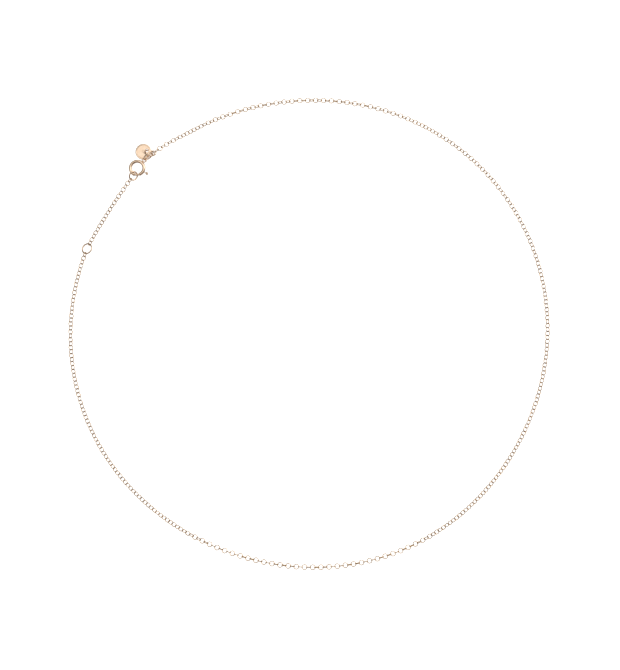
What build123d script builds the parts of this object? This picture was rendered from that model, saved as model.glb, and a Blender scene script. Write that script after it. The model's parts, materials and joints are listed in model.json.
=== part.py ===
"""Fine round-link chain necklace: spring-ring clasp, adjuster ring, extension and disc tag.

Millimetres. The necklace lies in a ring on the plane Z = 0, +Z up.
Origin: centre of the loop on the resting plane. The clasp is at the back left (-X, +Y).
"""

import os
from math import atan2, cos, pi, radians, sin, sqrt

from build123d import *

# chain links
WIRE = 0.22
PITCH = 1.20
LINK_GAP = 0.03
LINK_R = (PITCH + WIRE + LINK_GAP) / 2
CHAIN_Z = 0.84
MAIN_LINKS = 342
LINKS_PER_RUN = 8
EXTENSION_LINKS = 20
EXTENSION_RUN = 4

# plan shape of the loop: mean radius, then cosine and sine waviness by order
LOOP_R = 71.05
WAVES = ((0.18, 0.28), (0.18, 0.20), (-0.27, 0.17), (-0.08, 0.13), (0.09, -0.03))
FIRST_LINK_AZIMUTH = 131.025
EXTENSION_SAG = 0.45

# link attitude: every other link is turned a quarter, and the chain leans by up to LEAN
LEAN = 45
WOBBLE = 5

# the first links climb and swing outwards to the clasp's rings; the last climb to the end ring
CLIMB_LINKS = 12
CLIMB = 1.395
SWING_OUT = 0.565
END_CLIMB = 0.17

# adjuster ring and end ring
ADJUSTER_WIRE = 0.42
ADJUSTER_R = 1.54
ADJUSTER_TILT = 23
END_WIRE = 0.40
END_R = 1.30
END_AT = (-53.065, 47.201, 1.007)
END_NORMAL = (0.492, -0.373, 0.787)
END_HOOK_AZIMUTH = -126.5
END_LEAN = 52

# spring-ring clasp; angles run round the clasp from its eye
CLASP_AT = (-51.95, 49.57, 1.24)
CLASP_AZIMUTH = 47
CLASP_TILT = 7
CLASP_R = 2.075
TUBE_D = 0.95
TUBE_WALL = 0.11
MOUTH = (-157, -119)
SLOT = (-84, -22)
SLOT_WIDTH = 0.34
BOLT_D = 0.56
BOLT = (-167, -58)
KNOB_AT = -77
KNOB_D = 0.90
KNOB_REACH = 3.45
POST_D = 0.28
SPRING_WIRE = 0.11
SPRING_D = 0.60
SPRING_TURNS = 16
STOP = (96, 106)
EYE_R = 0.60
EYE_WIRE = 0.34
EYE_REACH = 3.25

# jump rings and disc tag
JUMP_WIRE = 0.42
JUMP_R = 1.54
JUMP_AT = (-48.585, 52.943, 2.329)
JUMP_NORMAL = (-0.577, 0.794, -0.192)
TAG_RING_WIRE = 0.38
TAG_RING_R = 1.51
TAG_RING_AT = (-48.256, 54.213, 1.326)
TAG_RING_NORMAL = (0.225, 0.665, 0.712)
TAG_R = 2.45
TAG_THICK = 0.30
TAG_AT = (-50.189, 54.874, 0.563)
TAG_NORMAL = (-0.119, -0.050, 0.992)
TAG_HOLE_R = 0.52
TAG_HOLE_AT = (-49.110, 55.148, 0.706)
TAG_EDGE = 0.05

UP = Vector(0, 0, 1)


def ease(t):
    """Smooth rise from 0 to 1."""
    t = min(max(t, 0), 1)
    return t * t * (3 - 2 * t)


def loop_point(angle, outward=0):
    """Point of the loop's plan curve at an angle about the origin, in radians."""
    r = LOOP_R + outward
    for n, (c, s) in enumerate(WAVES, 1):
        r += c * cos(n * angle) + s * sin(n * angle)
    return Vector(r * cos(angle), r * sin(angle), 0)


def main_centre(angle, i):
    """Centre of main link i at an angle round the loop."""
    near_clasp = ease(1 - i / CLIMB_LINKS)
    return loop_point(angle, SWING_OUT * near_clasp) + UP * (CHAIN_Z + CLIMB * near_clasp)


def main_centres():
    """Link centres of the main chain clockwise from the clasp, plus one point past the last."""
    angle = radians(FIRST_LINK_AZIMUTH)
    centres = [main_centre(angle, 0)]
    for i in range(1, MAIN_LINKS + 1):
        step = PITCH / LOOP_R
        for _ in range(4):
            step *= PITCH / (main_centre(angle - step, i) - centres[-1]).length
        angle -= step
        centres.append(main_centre(angle, i))
    return centres


def hook_distance(ring_r, ring_wire):
    """Ring centre to the centre of a link hooked through it, pulled straight."""
    return ring_r - ring_wire / 2 - WIRE / 2 - LINK_GAP + LINK_R


def adjuster_frame():
    """Plane of the adjuster ring: X along the chain, Z its own axis."""
    centres = main_centres()
    along = (centres[-1] - centres[-3]).normalized()
    side = UP.cross(along)
    tilt = radians(ADJUSTER_TILT)
    axis = UP * cos(tilt) + side * sin(tilt)
    centre = centres[-2] + along * hook_distance(ADJUSTER_R, ADJUSTER_WIRE)
    return Plane(centre, x_dir=along, z_dir=axis)


def end_frame():
    """Plane of the end ring: X towards the extension's last link, Z its own axis."""
    azimuth = radians(END_HOOK_AZIMUTH)
    away = Vector(cos(azimuth), sin(azimuth), 0)
    return Plane(Vector(*END_AT), x_dir=away, z_dir=Vector(*END_NORMAL))


def extension_centres():
    """Link centres of the extension, from the adjuster ring to the end ring."""
    start = adjuster_frame().origin
    end = end_frame().origin + end_frame().x_dir * hook_distance(END_R, END_WIRE)
    chord = end - start
    outward = UP.cross(chord).normalized()
    first = hook_distance(ADJUSTER_R, ADJUSTER_WIRE) / chord.length
    centres = []
    for i in range(EXTENSION_LINKS):
        t = first + (1 - first) * i / (EXTENSION_LINKS - 1)
        point = start + chord * t + outward * (4 * EXTENSION_SAG * t * (1 - t))
        height = CHAIN_Z + END_CLIMB * ease((i - EXTENSION_LINKS + 7) / 6)
        centres.append(Vector(point.X, point.Y, height))
    return centres


def link_frame(before, centre, after, roll):
    """Plane of one link: X along the chain, Z the link's own axis."""
    along = (after - before).normalized()
    side = UP.cross(along).normalized()
    over = along.cross(side)
    turn = radians(roll)
    return Plane(centre, x_dir=along, z_dir=over * cos(turn) + side * sin(turn))


def chain_frames(centres, leans):
    """Planes of successive links; each is a quarter turn from the last."""
    frames = []
    last = len(centres) - 1
    for i, centre in enumerate(centres):
        before = centres[max(i - 1, 0)]
        after = centres[min(i + 1, last)]
        wobble = WOBBLE * sin(2.4 * i) * ease(i / 6) * ease((last - i) / 6)
        frames.append(link_frame(before, centre, after, 90 * (i % 2) + leans[i] + wobble))
    return frames


def main_frames():
    """Planes of the main links: flat and on edge by turns at the front and back, leaning between."""
    centres = main_centres()[:-1]
    leans = []
    for i, centre in enumerate(centres):
        end_on = ease(8 * abs(centre.Y) / centre.length - 6.6)
        lean = LEAN * (1 - end_on) * ease(i / 16)
        towards_ring = ease(1 - (MAIN_LINKS - 1 - i) / 12)
        leans.append(lean + (ADJUSTER_TILT - lean) * towards_ring)
    return chain_frames(centres, leans)


def extension_frames():
    """Planes of the extension's links, square to the ring at each end."""
    leans = []
    for i in range(EXTENSION_LINKS):
        share = i / (EXTENSION_LINKS - 1)
        leans.append(90 + ADJUSTER_TILT + (END_LEAN - ADJUSTER_TILT) * share)
    return chain_frames(extension_centres(), leans)


def run_bounds(count, size, first):
    """Start and end index of each run of links; the first and last runs share the remainder."""
    bounds = [(0, first)]
    while bounds[-1][1] + size < count:
        start = bounds[-1][1]
        bounds.append((start, start + size))
    bounds.append((bounds[-1][1], count))
    return bounds


def main_runs():
    """Index bounds of the main runs."""
    return run_bounds(MAIN_LINKS, LINKS_PER_RUN, LINKS_PER_RUN - 1)


def extension_runs():
    """Index bounds of the extension runs."""
    return run_bounds(EXTENSION_LINKS, EXTENSION_RUN, EXTENSION_RUN)


def link_run(frames):
    """Separate closed links, one at each plane."""
    links = []
    for frame in frames:
        links.append(frame.location * Torus(LINK_R, WIRE / 2))
    return Compound(children=links)


def wire_ring(frame, ring_r, wire):
    """One closed round ring of wire."""
    return frame.location * Torus(ring_r, wire / 2)


def clasp_frame():
    """Plane of the clasp: X from its centre to its eye, Z its own axis."""
    azimuth = radians(CLASP_AZIMUTH)
    tilt = radians(CLASP_TILT)
    level = Vector(cos(azimuth), sin(azimuth), 0)
    to_eye = level * cos(tilt) + UP * sin(tilt)
    axis = UP * cos(tilt) - level * sin(tilt)
    return Plane(Vector(*CLASP_AT), x_dir=to_eye, z_dir=axis)


def ring_sector(wire_r, start, end):
    """Bent rod following the clasp's circle between two angles."""
    section = Plane.XZ * Pos(CLASP_R, 0) * Circle(wire_r)
    return Rot(0, 0, start) * revolve(section, Axis.Z, end - start)


def clasp_tube():
    """Hollow C-shaped tube, open at the mouth, slotted for the thumb knob."""
    start = MOUTH[1]
    end = MOUTH[0] + 360
    tube = ring_sector(TUBE_D / 2, start, end) - ring_sector(TUBE_D / 2 - TUBE_WALL, start, end)
    outer = CLASP_R + TUBE_D / 2
    band = Plane.XZ * Pos(outer, 0) * Rectangle(TUBE_D * 0.6, SLOT_WIDTH)
    slot = Rot(0, 0, SLOT[0]) * revolve(band, Axis.Z, SLOT[1] - SLOT[0])
    tube -= slot
    slot_end = Pos(outer, 0, 0) * Rot(0, 90, 0) * Cylinder(SLOT_WIDTH / 2, TUBE_D * 0.6)
    for angle in SLOT:
        tube -= Rot(0, 0, angle) * slot_end
    return tube


def clasp_bolt():
    """Curved bolt with a rounded nose that crosses the mouth into the far end of the tube."""
    nose = Rot(0, 0, BOLT[0]) * Pos(CLASP_R, 0, 0) * Sphere(BOLT_D * 0.495)
    return ring_sector(BOLT_D / 2, *BOLT) + nose


def clasp_thumb_knob():
    """Ball-ended stud standing out of the slot, seated on the bolt."""
    length = KNOB_REACH - CLASP_R
    post = Pos(CLASP_R + length / 2, 0, 0) * Rot(0, 90, 0) * Cylinder(POST_D / 2, length)
    ball = Pos(KNOB_REACH, 0, 0) * Sphere(KNOB_D / 2)
    return Rot(0, 0, KNOB_AT) * (post + ball) - ring_sector(BOLT_D / 2, *BOLT)


def clasp_spring():
    """Coil spring in the tube between the bolt and the stop."""
    coil_r = (SPRING_D - SPRING_WIRE) / 2
    start = BOLT[1] + 2
    end = STOP[0] - 2
    steps = SPRING_TURNS * 10
    points = []
    for i in range(steps + 1):
        turn = 2 * pi * SPRING_TURNS * i / steps
        angle = radians(start + (end - start) * i / steps)
        r = CLASP_R + coil_r * cos(turn)
        points.append(Vector(r * cos(angle), r * sin(angle), coil_r * sin(turn)))
    path = Spline(*points)
    section = Plane(path @ 0, z_dir=path % 0) * RegularPolygon(SPRING_WIRE / 2, 12)
    return sweep(section, path)


def clasp_spring_stop():
    """Plug in the tube that backs the spring."""
    return ring_sector(TUBE_D / 2 - TUBE_WALL - 0.004, *STOP)


def clasp_eye():
    """Wire loop soldered to the tube's outside."""
    return Pos(EYE_REACH, 0, 0) * Torus(EYE_R, EYE_WIRE / 2) - Torus(CLASP_R, TUBE_D / 2)


def tag_disc():
    """Round tag with a hole beside its centre and softened edges."""
    plate = Cylinder(TAG_R, TAG_THICK)
    plate = chamfer(plate.edges(), TAG_EDGE)
    frame = Plane(Vector(*TAG_AT), z_dir=Vector(*TAG_NORMAL))
    hole = frame.to_local_coords(Vector(*TAG_HOLE_AT))
    plate -= Pos(hole.X, hole.Y, 0) * Cylinder(TAG_HOLE_R, TAG_THICK * 2)
    return frame.location * plate


def save(shape, name):
    """Write one node's solids."""
    export_step(shape, os.path.join("parts", name + ".step"))


def main():
    os.makedirs("parts", exist_ok=True)
    clasp = clasp_frame().location
    save(clasp * clasp_tube(), "clasp_tube")
    save(clasp * clasp_bolt(), "clasp_bolt")
    save(clasp * clasp_thumb_knob(), "clasp_thumb_knob")
    save(clasp * clasp_spring(), "clasp_spring")
    save(clasp * clasp_spring_stop(), "clasp_spring_stop")
    save(clasp * clasp_eye(), "clasp_eye")
    jump = Plane(Vector(*JUMP_AT), z_dir=Vector(*JUMP_NORMAL))
    save(wire_ring(jump, JUMP_R, JUMP_WIRE), "clasp_jump_ring")
    tag_ring = Plane(Vector(*TAG_RING_AT), z_dir=Vector(*TAG_RING_NORMAL))
    save(wire_ring(tag_ring, TAG_RING_R, TAG_RING_WIRE), "tag_jump_ring")
    save(tag_disc(), "tag_disc")
    save(wire_ring(end_frame(), END_R, END_WIRE), "end_ring")
    save(wire_ring(adjuster_frame(), ADJUSTER_R, ADJUSTER_WIRE), "adjuster_ring")
    frames = extension_frames()
    for k, (first, end) in enumerate(extension_runs(), 1):
        save(link_run(frames[first:end]), f"extension_run_{k:02d}")
    frames = main_frames()
    for k, (first, end) in enumerate(main_runs(), 1):
        save(link_run(frames[first:end]), f"main_run_{k:02d}")


if __name__ == "__main__":
    main()
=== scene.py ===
import json
import math
import random

import bpy
import numpy as np
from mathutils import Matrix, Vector


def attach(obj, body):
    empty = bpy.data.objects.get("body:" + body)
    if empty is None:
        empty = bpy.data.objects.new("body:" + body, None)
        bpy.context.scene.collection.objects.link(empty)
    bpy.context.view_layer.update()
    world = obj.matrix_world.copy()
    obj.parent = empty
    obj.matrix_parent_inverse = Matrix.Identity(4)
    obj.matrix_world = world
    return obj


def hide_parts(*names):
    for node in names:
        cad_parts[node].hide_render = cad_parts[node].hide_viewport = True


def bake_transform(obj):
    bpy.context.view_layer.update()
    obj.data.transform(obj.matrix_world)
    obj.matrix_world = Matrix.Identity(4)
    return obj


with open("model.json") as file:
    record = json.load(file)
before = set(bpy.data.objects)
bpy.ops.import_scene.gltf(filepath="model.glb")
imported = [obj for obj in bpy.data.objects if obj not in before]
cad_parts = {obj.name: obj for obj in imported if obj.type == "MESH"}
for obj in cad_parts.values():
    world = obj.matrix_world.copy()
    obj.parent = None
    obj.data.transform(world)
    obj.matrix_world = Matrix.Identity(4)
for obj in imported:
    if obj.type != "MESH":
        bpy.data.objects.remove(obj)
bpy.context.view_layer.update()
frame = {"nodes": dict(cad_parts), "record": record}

MM = 0.001
SEED = 7

# camera: the photograph looks down from the front, a little off vertical
CAMERA_ELEVATION = 79.71
CAMERA_DISTANCE = 0.686
VIEW_WIDTH = 185.1 * MM
SENSOR_WIDTH = 36.0
TARGET = (0.26 * MM, -1.45 * MM, 0.0)

# floor and light; tent tones are (cosine to a direction, colour) stops
FLOOR_HALF = 3.0
FLOOR_CORNERS = [(-1, -1), (1, -1), (1, 1), (-1, 1)]
FLOOR_GLOW = 0.85
MOTTLE_SCALE = 60.0
KEY_PLACE = (0.6, 0.3, 0.6)
KEY_SIZE = 0.5
KEY_POWER = 1.6
TENT_STRENGTH = 1.08
OVERHEAD = [
    (0.0, (0.15, 0.14, 0.13)),
    (0.45, (0.46, 0.46, 0.46)),
    (0.70, (0.86, 0.86, 0.86)),
    (0.90, (1.0, 1.0, 1.0)),
]
LEFT = [(0.60, (1.0, 1.0, 1.0)), (0.84, (0.16, 0.15, 0.12))]
FRONT = [(0.32, (1.0, 1.0, 1.0)), (0.54, (0.10, 0.06, 0.04))]
UP = (0.0, 0.0, 1.0)
TO_LEFT = (-0.78, 0.58, 0.22)
TO_FRONT = (0.10, -0.97, 0.12)

# metal finish
TONE_SCALE = 900.0
# reach of the painted shade that darkens the base colour in hollows and between touching parts
PAINTED_SHADE_REACH = 0.35 * MM
SCRATCH_SCALE = (3000.0, 26000.0, 9000.0)
SCRATCH_TURN = (0.3, 0.2, 0.7)
SCRATCH_DEPTH = 0.004 * MM

# links
LINK_STEPS = 60
WIRE_STEPS = 18
SEAM_WIDTH = 0.06 * MM
SEAM_RISE = 0.012 * MM
WORN_DEPTH = 0.008 * MM
TONE_SPREAD = 0.08

# jump rings, end ring and adjuster ring
RING_STEPS = 220
RING_TURNS = 36
RING_START = (0.31, 0.94, 0.12)
CUT_WIDTH = 0.018 * MM
CUT_DEPTH = 0.030 * MM
CUT_REACH = 3
CUT_CLEAR = 3.4
CUT_STEPS = 17

# clasp spring, by angle from the eye
SPRING_ENDS = (-55.5, 93.5)
SPRING_TURNS = 16
SPRING_STEPS = 28
SPRING_SIDES = 12
SPRING_WIRE = 0.055 * MM
SPRING_COIL = 0.245 * MM

# circle fits: the outline takes points beyond a share of the farthest, the hole those within
PLATE_EDGE = 0.96
PLATE_INSIDE = 0.85
PLATE_ROUNDS = 3
TUBE_EDGE = 0.985
TUBE_ROUNDS = 4

# disc tag
DISC_STEPS = 320
LIP_STEPS = 4
FACE_RINGS = 120
BAND_STEPS = 30
BEVEL_STEPS = 8
INNER_FACE = 1.86 * MM
HOLE_ROUND = 0.05 * MM
RIM_BEVEL = 0.24 * MM
RIM_DROP = 0.13 * MM
BORDER_AT = 2.02 * MM
BORDER_WIDTH = 0.035 * MM
BORDER_DEPTH = 0.040 * MM
LOZENGE_HALF = 0.46 * MM
LOZENGE_SQUASH = 1.25
LOZENGE_SLOPE = 1.6
LOZENGE_LINE = 0.035 * MM
LOZENGE_DEPTH = 0.030 * MM
CROWN = 0.030 * MM


# ---------------------------------------------------------------- reading the frame

def node_points(node):
    """A CAD node's vertices, in metres."""
    mesh = frame["nodes"][node].data
    flat = np.empty(len(mesh.vertices) * 3, np.float32)
    mesh.vertices.foreach_get("co", flat)
    return flat.reshape(-1, 3).astype(float)


def node_solids(node):
    """Vertices of each separate solid of a CAD node, one array per solid."""
    points = node_points(node)
    mesh = frame["nodes"][node].data
    edges = np.empty(len(mesh.edges) * 2, np.int32)
    mesh.edges.foreach_get("vertices", edges)
    keys = np.round(points / (0.0001 * MM)).astype(np.int64)
    _, first, weld = np.unique(keys, axis=0, return_index=True, return_inverse=True)
    weld = weld.ravel()
    pairs = weld[edges.reshape(-1, 2)]
    label = np.arange(len(first))
    while True:
        low = np.minimum(label[pairs[:, 0]], label[pairs[:, 1]])
        joined = label.copy()
        np.minimum.at(joined, pairs[:, 0], low)
        np.minimum.at(joined, pairs[:, 1], low)
        joined = joined[joined]
        if (joined == label).all():
            break
        label = joined
    unique_points = points[first]
    return [unique_points[label == g] for g in np.unique(label)]


def thin_axis(points):
    """Unit vector, pointing up, along which a set of points is thinnest."""
    _, _, axes = np.linalg.svd(points - points.mean(axis=0), full_matrices=False)
    return axes[2] if axes[2][2] >= 0 else -axes[2]


class Ring:
    """A round wire ring: centre, axis, radius of its centre line and radius of its wire."""

    def __init__(self, points):
        centre = points.mean(axis=0)
        axis = thin_axis(points)
        rel = points - centre
        height = rel @ axis
        flat = np.linalg.norm(rel - np.outer(height, axis), axis=1)
        self.centre = centre
        self.axis = axis
        self.wire = (height.max() - height.min()) / 2
        self.radius = (flat.max() + flat.min()) / 2


def body_of(node):
    """The body a CAD node rides on."""
    for body, nodes in frame["record"]["behaviour"]["bodies"].items():
        if node in nodes:
            return body
    raise KeyError(node)


def slot_of(node):
    """The record's material slot for a CAD node."""
    return "spring_steel" if node == "clasp_spring" else "rose_gold"


# ---------------------------------------------------------------- materials

def new_material(name):
    material = bpy.data.materials.new(name)
    material.use_nodes = True
    material.node_tree.nodes.clear()
    return material, material.node_tree.nodes, material.node_tree.links


def add(nodes, kind, **inputs):
    """One shader node with some of its inputs set."""
    node = nodes.new(kind)
    for key, value in inputs.items():
        node.inputs[key.replace("_", " ")].default_value = value
    return node


def ramp(nodes, stops):
    """A colour ramp with the given (position, colour) stops."""
    node = nodes.new("ShaderNodeValToRGB")
    elements = node.color_ramp.elements
    while len(elements) < len(stops):
        elements.new(0.5)
    for element, (position, colour) in zip(elements, stops):
        element.position = position
        element.color = (*colour, 1.0)
    return node


def polished_metal(name, light, deep, rough, scratch):
    """Polished metal: a tone that drifts along it, hairline scratches and painted shade that
    darkens its hollows.
    """
    material, nodes, links = new_material(name)
    out = nodes.new("ShaderNodeOutputMaterial")
    shader = add(nodes, "ShaderNodeBsdfPrincipled", Metallic=1.0)
    links.new(shader.outputs["BSDF"], out.inputs["Surface"])
    place = nodes.new("ShaderNodeTexCoord")

    drift = add(nodes, "ShaderNodeTexNoise", Scale=TONE_SCALE, Detail=3.0, Roughness=0.55)
    links.new(place.outputs["Object"], drift.inputs["Vector"])
    tone = ramp(nodes, [(0.32, deep), (0.72, light)])
    links.new(drift.outputs["Fac"], tone.inputs["Fac"])

    # painted shade: ambient occlusion darkens the base colour in hollows and where parts touch,
    # standing in for the shade there
    shade_occlusion = nodes.new("ShaderNodeAmbientOcclusion")
    shade_occlusion.samples = 4
    shade_occlusion.inputs["Distance"].default_value = PAINTED_SHADE_REACH
    painted_shade = ramp(nodes, [(0.0, (0.34, 0.22, 0.15)), (0.80, (1.0, 1.0, 1.0))])
    links.new(shade_occlusion.outputs["AO"], painted_shade.inputs["Fac"])
    own = nodes.new("ShaderNodeAttribute")
    own.attribute_name = "tone"
    lift = nodes.new("ShaderNodeMath")
    lift.operation = "ADD"
    lift.inputs[1].default_value = 1.0
    links.new(own.outputs["Fac"], lift.inputs[0])
    toned = nodes.new("ShaderNodeHueSaturation")
    links.new(lift.outputs["Value"], toned.inputs["Value"])
    links.new(tone.outputs["Color"], toned.inputs["Color"])

    colour = nodes.new("ShaderNodeMix")
    colour.data_type = "RGBA"
    colour.blend_type = "MULTIPLY"
    colour.inputs["Factor"].default_value = 1.0
    links.new(toned.outputs["Color"], colour.inputs["A"])
    links.new(painted_shade.outputs["Color"], colour.inputs["B"])
    links.new(colour.outputs["Result"], shader.inputs["Base Color"])

    stretch = nodes.new("ShaderNodeMapping")
    stretch.inputs["Scale"].default_value = SCRATCH_SCALE
    stretch.inputs["Rotation"].default_value = SCRATCH_TURN
    links.new(place.outputs["Object"], stretch.inputs["Vector"])
    hair = add(nodes, "ShaderNodeTexNoise", Scale=1.0, Detail=4.0, Roughness=0.6)
    links.new(stretch.outputs["Vector"], hair.inputs["Vector"])
    dull = nodes.new("ShaderNodeMapRange")
    dull.inputs["From Min"].default_value = 0.35
    dull.inputs["From Max"].default_value = 0.70
    dull.inputs["To Min"].default_value = rough[0]
    dull.inputs["To Max"].default_value = rough[1]
    links.new(hair.outputs["Fac"], dull.inputs["Value"])
    links.new(dull.outputs["Result"], shader.inputs["Roughness"])

    bump = nodes.new("ShaderNodeBump")
    bump.inputs["Strength"].default_value = scratch
    bump.inputs["Distance"].default_value = SCRATCH_DEPTH
    links.new(hair.outputs["Fac"], bump.inputs["Height"])
    links.new(bump.outputs["Normal"], shader.inputs["Normal"])
    return material


def floor_material():
    """Matt white sheet with a very faint mottle, lifted towards white for the camera alone."""
    material, nodes, links = new_material("pale_floor")
    out = nodes.new("ShaderNodeOutputMaterial")
    shader = add(nodes, "ShaderNodeBsdfPrincipled", Roughness=0.9)
    shader.inputs["Specular IOR Level"].default_value = 0.0
    shader.inputs["Emission Color"].default_value = (1.0, 1.0, 1.0, 1.0)
    path = nodes.new("ShaderNodeLightPath")
    glow = nodes.new("ShaderNodeMath")
    glow.operation = "MULTIPLY"
    glow.inputs[1].default_value = FLOOR_GLOW
    links.new(path.outputs["Is Camera Ray"], glow.inputs[0])
    links.new(glow.outputs["Value"], shader.inputs["Emission Strength"])
    links.new(shader.outputs["BSDF"], out.inputs["Surface"])
    place = nodes.new("ShaderNodeTexCoord")
    mottle = add(nodes, "ShaderNodeTexNoise", Scale=MOTTLE_SCALE, Detail=2.0)
    links.new(place.outputs["Object"], mottle.inputs["Vector"])
    tone = ramp(nodes, [(0.0, (0.93, 0.93, 0.93)), (1.0, (0.95, 0.95, 0.95))])
    links.new(mottle.outputs["Fac"], tone.inputs["Fac"])
    links.new(tone.outputs["Color"], shader.inputs["Base Color"])
    return material


ROSE_GOLD = polished_metal(
    "rose_gold", (0.95, 0.74, 0.55), (0.90, 0.66, 0.47), (0.08, 0.20), 0.25
)
# the chain's rose gold is a darker copy of the clasp's: painted shade for the shade among the
# interlocked links
SHADED_CHAIN_GOLD = polished_metal(
    "rose_gold_chain_painted_shade", (0.82, 0.56, 0.29), (0.54, 0.32, 0.12), (0.12, 0.28), 0.30
)
STEEL = polished_metal(
    "spring_steel", (0.62, 0.62, 0.63), (0.50, 0.50, 0.52), (0.18, 0.32), 0.30
)


def finish_of(node):
    """The material a CAD node is made in; the links are a little rougher than the clasp, and their
    darker rose gold is painted shade.
    """
    if slot_of(node) == "spring_steel":
        return STEEL
    return SHADED_CHAIN_GOLD if "_run_" in node else ROSE_GOLD


# ---------------------------------------------------------------- pieces

def square_axes(axis, toward):
    """Two unit vectors square to an axis, the first as near a direction as it can be."""
    first = toward - axis * (toward @ axis)
    first = first / np.linalg.norm(first)
    return first, np.cross(axis, first)


def wrapped(angle):
    """Angles brought to within half a turn of zero."""
    return (angle + math.pi) % (2 * math.pi) - math.pi


def closed_grid(rows, columns):
    """Quads of a grid of points that closes on itself both ways."""
    i, j = np.meshgrid(np.arange(rows), np.arange(columns), indexing="ij")
    k, m = (i + 1) % rows, (j + 1) % columns
    corners = (i * columns + j, k * columns + j, k * columns + m, i * columns + m)
    return np.stack(corners, axis=-1).reshape(-1, 4)


def ring_surface(ring, toward, angles, turns, wire_at):
    """Vertices and quads of a closed wire ring whose wire radius varies along and around it."""
    x, y = square_axes(ring.axis, toward)
    along = angles[:, None]
    turn = (np.arange(turns) * 2 * math.pi / turns)[None, :]
    wire = wire_at(along, turn)
    reach = (ring.radius + wire * np.cos(turn))[..., None]
    rise = (wire * np.sin(turn))[..., None]
    spoke = np.cos(along)[..., None] * x + np.sin(along)[..., None] * y
    points = ring.centre + reach * spoke + rise * ring.axis
    return points.reshape(-1, 3), closed_grid(len(angles), turns)


def make_piece(name, node, points, quads, tone=None, ends=(), ride=True):
    """A smooth mesh piece that stands for a CAD node and, when ride is set, rides on its body."""
    mesh = bpy.data.meshes.new(name)
    mesh.from_pydata(points.tolist(), [], quads.tolist() + list(ends))
    mesh.polygons.foreach_set("use_smooth", np.ones(len(mesh.polygons), bool))
    if tone is not None:
        mesh.attributes.new("tone", "FLOAT", "POINT").data.foreach_set("value", tone)
    mesh.materials.append(finish_of(node))
    piece = bpy.data.objects.new(name, mesh)
    bpy.context.scene.collection.objects.link(piece)
    if ride:
        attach(piece, body_of(node))
    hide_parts(node)
    return piece


def link_wire(ring):
    """Wire radius of a link: a solder bead on one side, worn hollows where neighbours pull."""
    def wire_at(along, turn):
        off_seam = wrapped(along - math.pi / 2) * ring.radius / SEAM_WIDTH
        bead = SEAM_RISE * np.exp(-off_seam ** 2)
        inside = np.maximum(-np.cos(turn), 0) ** 2
        worn = WORN_DEPTH * np.abs(np.cos(along)) ** 6 * inside
        return ring.wire + bead - worn
    return wire_at


def chain_piece(node, chance):
    """All the links of one run, each its own closed ring with its own tone."""
    rings = [Ring(points) for points in node_solids(node)]
    angles = np.arange(LINK_STEPS) * 2 * math.pi / LINK_STEPS
    points, quads, tones = [], [], []
    count = 0
    for i, ring in enumerate(rings):
        gaps = [np.linalg.norm(other.centre - ring.centre) for other in rings]
        nearest = rings[int(np.argsort(gaps)[1])]
        toward = nearest.centre - ring.centre
        ring_points, ring_quads = ring_surface(
            ring, toward, angles, WIRE_STEPS, link_wire(ring)
        )
        points.append(ring_points)
        quads.append(ring_quads + count)
        tones.append(np.full(len(ring_points), chance.uniform(-TONE_SPREAD, TONE_SPREAD)))
        count += len(ring_points)
    make_piece(
        node + "_links", node, np.concatenate(points), np.concatenate(quads),
        np.concatenate(tones),
    )


def cut_wire(ring, cut_at):
    """Wire radius of a ring closed with a fine butt joint."""
    def wire_at(along, turn):
        off_cut = wrapped(along - cut_at) * ring.radius / CUT_WIDTH
        return ring.wire - CUT_DEPTH * np.exp(-off_cut ** 2) + np.zeros_like(turn)
    return wire_at


def ring_piece(node, cut_at):
    """One large ring with its closing joint at an angle, in degrees."""
    ring = Ring(node_solids(node)[0])
    cut = math.radians(cut_at) % (2 * math.pi)
    fine = cut + np.linspace(-CUT_REACH, CUT_REACH, CUT_STEPS) * CUT_WIDTH / ring.radius
    even = np.arange(RING_STEPS) * 2 * math.pi / RING_STEPS
    clear = np.abs(wrapped(even - cut)) > CUT_CLEAR * CUT_WIDTH / ring.radius
    angles = np.sort(np.concatenate([even[clear], fine]) % (2 * math.pi))
    points, quads = ring_surface(
        ring, np.array(RING_START), angles, RING_TURNS, cut_wire(ring, cut)
    )
    make_piece(node + "_wire", node, points, quads)


def circle_fit(flat):
    """Centre and radius of the circle nearest a set of plane points."""
    table = np.column_stack([2 * flat, np.ones(len(flat))])
    a, b, c = np.linalg.lstsq(table, (flat ** 2).sum(axis=1), rcond=None)[0]
    return np.array([a, b]), math.sqrt(c + a * a + b * b)


class FlatRound:
    """A flat round part's own plane, its outline circle and half its height.

    Points are seen in the plane as `flat`, where the outline's centre is `spot`.
    """

    def __init__(self, points, middle, edge_share, rounds):
        self.axis = thin_axis(points)
        self.x, self.y = square_axes(self.axis, np.array([1.0, 0.0, 0.0]))
        off = points - middle
        self.flat = np.column_stack([off @ self.x, off @ self.y])
        self.spot = np.zeros(2)
        for _ in range(rounds):
            away = np.linalg.norm(self.flat - self.spot, axis=1)
            self.spot, self.outer = circle_fit(self.flat[away > edge_share * away.max()])
        height = off @ self.axis
        self.half = (height.max() - height.min()) / 2
        lift = (height.max() + height.min()) / 2
        across = self.x * self.spot[0]
        self.centre = middle + across + self.y * self.spot[1] + self.axis * lift


class Plate(FlatRound):
    """The disc tag, with its rim circle and its hole circle."""

    def __init__(self, points):
        middle = (points.max(axis=0) + points.min(axis=0)) / 2
        super().__init__(points, middle, PLATE_EDGE, PLATE_ROUNDS)
        self.radius = self.outer
        away = np.linalg.norm(self.flat - self.spot, axis=1)
        hole, self.hole_radius = circle_fit(self.flat[away < PLATE_INSIDE * self.radius])
        step = hole - self.spot
        toward = self.x * step[0] + self.y * step[1]
        self.hole_off = np.linalg.norm(toward)
        self.x, self.y = square_axes(self.axis, toward)


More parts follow.
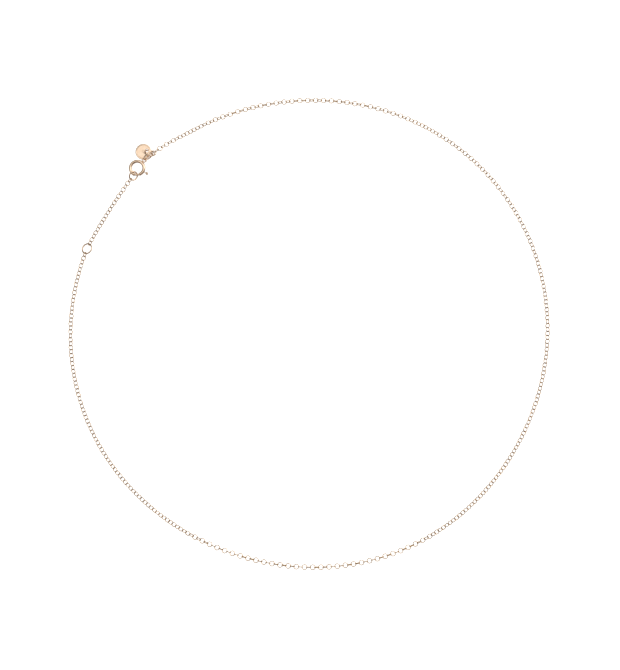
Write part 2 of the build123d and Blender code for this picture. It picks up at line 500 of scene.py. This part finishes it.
class ClaspCircle(FlatRound):
    """The circle the clasp's tube follows, with angles counted from the eye."""

    def __init__(self):
        points = node_points("clasp_tube")
        super().__init__(points, points.mean(axis=0), TUBE_EDGE, TUBE_ROUNDS)
        self.radius = self.outer - self.half
        eye = node_points("clasp_eye").mean(axis=0) - self.centre
        self.x, self.y = square_axes(self.axis, eye)

    def spoke(self, degrees):
        """Unit vectors from the centre at angles from the eye."""
        angle = np.radians(degrees)[:, None]
        return np.cos(angle) * self.x + np.sin(angle) * self.y


def spring_piece(node):
    """The clasp's coil spring along the tube, built in one fixed shape and riding on no body; the
    real spring closes up as the bolt draws back.
    """
    clasp = ClaspCircle()
    rows = SPRING_TURNS * SPRING_STEPS + 1
    share = np.linspace(0.0, 1.0, rows)
    degrees = SPRING_ENDS[0] + (SPRING_ENDS[1] - SPRING_ENDS[0]) * share
    turn = (2 * math.pi * SPRING_TURNS * share)[:, None]
    spoke = clasp.spoke(degrees)
    offset = np.cos(turn) * spoke + np.sin(turn) * clasp.axis
    path = clasp.centre + clasp.radius * spoke + SPRING_COIL * offset
    along = np.gradient(path, axis=0)
    along /= np.linalg.norm(along, axis=1)[:, None]
    across = np.cross(along, offset)
    across /= np.linalg.norm(across, axis=1)[:, None]
    around = np.arange(SPRING_SIDES) * 2 * math.pi / SPRING_SIDES
    rim = offset[:, None, :] * np.cos(around)[:, None]
    rim = rim + across[:, None, :] * np.sin(around)[:, None]
    points = (path[:, None, :] + SPRING_WIRE * rim).reshape(-1, 3)
    last_row = (rows - 1) * SPRING_SIDES
    grid = closed_grid(rows, SPRING_SIDES)[:last_row]
    ends = [list(range(SPRING_SIDES))[::-1], list(range(last_row, rows * SPRING_SIDES))]
    piece = make_piece(node + "_coil", node, points, grid, ends=ends, ride=False)
    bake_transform(piece)


def face_height(plate, x, y):
    """Height of the tag's face: slightly crowned, with a border groove and a small lozenge."""
    out = np.hypot(x, y)
    crown = CROWN * (out / plate.radius) ** 2
    border = BORDER_DEPTH * np.exp(-(((out - BORDER_AT) / BORDER_WIDTH) ** 2))
    edge = (np.abs(x) * LOZENGE_SQUASH + np.abs(y) - LOZENGE_HALF) / LOZENGE_SLOPE
    lozenge = LOZENGE_DEPTH * np.exp(-((edge / LOZENGE_LINE) ** 2))
    return plate.half - crown - border - lozenge


def face_rows(plate):
    """Circles from the hole's lip over the face to the rim: centre offset, radius, drop."""
    rows = []
    for k in range(LIP_STEPS + 1):
        turn = math.pi / 2 * k / LIP_STEPS
        out = plate.hole_radius + HOLE_ROUND * (1 - math.cos(turn))
        rows.append((plate.hole_off, out, HOLE_ROUND * (1 - math.sin(turn))))
    first = plate.hole_radius + HOLE_ROUND
    for k in range(1, FACE_RINGS + 1):
        share = k / FACE_RINGS
        off = plate.hole_off * (1 - share)
        rows.append((off, first + (INNER_FACE - first) * share, 0.0))
    last = plate.radius - RIM_BEVEL
    for k in range(1, BAND_STEPS + 1):
        rows.append((0.0, INNER_FACE + (last - INNER_FACE) * k / BAND_STEPS, 0.0))
    for k in range(1, BEVEL_STEPS + 1):
        turn = math.pi / 2 * k / BEVEL_STEPS
        rows.append((0.0, last + RIM_BEVEL * math.sin(turn), RIM_DROP * (1 - math.cos(turn))))
    return rows


def disc_piece(node):
    """The tag: crowned faces, border groove, lozenge, rolled rim and softened hole."""
    plate = Plate(node_points(node))
    angles = np.arange(DISC_STEPS) * 2 * math.pi / DISC_STEPS
    upper, lower = [], []
    for off, out, drop in face_rows(plate):
        x = off + out * np.cos(angles)
        y = out * np.sin(angles)
        height = face_height(plate, x, y) - drop
        flat = plate.centre + np.outer(x, plate.x) + np.outer(y, plate.y)
        upper.append(flat + np.outer(height, plate.axis))
        lower.append(flat - np.outer(height, plate.axis))
    points = np.concatenate(upper + lower[::-1])
    quads = closed_grid(2 * len(upper), DISC_STEPS)
    make_piece(node + "_plate", node, points, quads)


# ---------------------------------------------------------------- stage, light and camera

def build_floor():
    """Wide flat sheet under the necklace."""
    mesh = bpy.data.meshes.new("pale_floor")
    corners = [(x * FLOOR_HALF, y * FLOOR_HALF, 0) for x, y in FLOOR_CORNERS]
    mesh.from_pydata(corners, [], [(0, 1, 2, 3)])
    mesh.materials.append(floor_material())
    floor = bpy.data.objects.new("pale_floor", mesh)
    bpy.context.scene.collection.objects.link(floor)


def tent_side(nodes, links, direction, toward, stops):
    """A tone that changes with how near a ray points to one direction of the tent."""
    lean = nodes.new("ShaderNodeVectorMath")
    lean.operation = "DOT_PRODUCT"
    lean.inputs[1].default_value = Vector(toward).normalized()
    links.new(direction.outputs["Generated"], lean.inputs[0])
    fall = ramp(nodes, stops)
    links.new(lean.outputs["Value"], fall.inputs["Fac"])
    return fall.outputs["Color"]


def multiplied(nodes, links, first, second):
    """Two colours multiplied together."""
    both = nodes.new("ShaderNodeMix")
    both.data_type = "RGBA"
    both.blend_type = "MULTIPLY"
    both.inputs["Factor"].default_value = 1.0
    links.new(first, both.inputs["A"])
    links.new(second, both.inputs["B"])
    return both.outputs["Result"]


def build_world():
    """A tent that is brightest overhead and dark at the front and left, white to the camera."""
    world = bpy.data.worlds.new("tent")
    bpy.context.scene.world = world
    world.use_nodes = True
    nodes = world.node_tree.nodes
    links = world.node_tree.links
    nodes.clear()
    out = nodes.new("ShaderNodeOutputWorld")
    seen = add(nodes, "ShaderNodeBackground", Strength=1.0)
    tent = add(nodes, "ShaderNodeBackground", Strength=TENT_STRENGTH)
    either = nodes.new("ShaderNodeMixShader")
    path = nodes.new("ShaderNodeLightPath")
    links.new(path.outputs["Is Camera Ray"], either.inputs["Fac"])
    links.new(tent.outputs["Background"], either.inputs[1])
    links.new(seen.outputs["Background"], either.inputs[2])
    links.new(either.outputs["Shader"], out.inputs["Surface"])
    seen.inputs["Color"].default_value = (1.0, 1.0, 1.0, 1.0)

    direction = nodes.new("ShaderNodeTexCoord")
    overhead = tent_side(nodes, links, direction, UP, OVERHEAD)
    front = tent_side(nodes, links, direction, TO_FRONT, FRONT)
    left = tent_side(nodes, links, direction, TO_LEFT, LEFT)
    sides = multiplied(nodes, links, front, left)
    links.new(multiplied(nodes, links, overhead, sides), tent.inputs["Color"])


def area_light(name, place, size, energy):
    """Soft square light aimed at the origin."""
    data = bpy.data.lights.new(name, "AREA")
    data.shape = "SQUARE"
    data.size = size
    data.energy = energy
    light = bpy.data.objects.new(name, data)
    light.location = place
    light.rotation_mode = "QUATERNION"
    light.rotation_quaternion = Vector(place).to_track_quat("Z", "Y")
    bpy.context.scene.collection.objects.link(light)


def build_camera():
    """The photograph's camera."""
    target = Vector(TARGET)
    tilt = math.radians(CAMERA_ELEVATION)
    back = Vector((0, -math.cos(tilt), math.sin(tilt)))
    data = bpy.data.cameras.new("camera")
    data.sensor_fit = "HORIZONTAL"
    data.sensor_width = SENSOR_WIDTH
    data.lens = SENSOR_WIDTH * CAMERA_DISTANCE / VIEW_WIDTH
    data.clip_start = 0.01
    data.clip_end = 100.0
    camera = bpy.data.objects.new("camera", data)
    camera.location = target + back * CAMERA_DISTANCE
    camera.rotation_mode = "QUATERNION"
    camera.rotation_quaternion = (-back).to_track_quat("-Z", "Y")
    bpy.context.scene.collection.objects.link(camera)
    bpy.context.scene.camera = camera


def paint_frame():
    """Procedural finish on every CAD node."""
    for name, node in frame["nodes"].items():
        node.data.materials.clear()
        node.data.materials.append(finish_of(name))


def build_pieces():
    """Every chain run, the large rings, the tag and the spring, remade over their CAD nodes."""
    chance = random.Random(SEED)
    for node in sorted(frame["nodes"]):
        if "_run_" in node:
            chain_piece(node, chance)
    ring_piece("clasp_jump_ring", 200)
    ring_piece("tag_jump_ring", 35)
    ring_piece("end_ring", 70)
    ring_piece("adjuster_ring", 120)
    disc_piece("tag_disc")
    spring_piece("clasp_spring")


build_floor()
build_world()
area_light("key", KEY_PLACE, KEY_SIZE, KEY_POWER)
build_camera()
paint_frame()
build_pieces()
bpy.context.scene.view_settings.view_transform = "Standard"
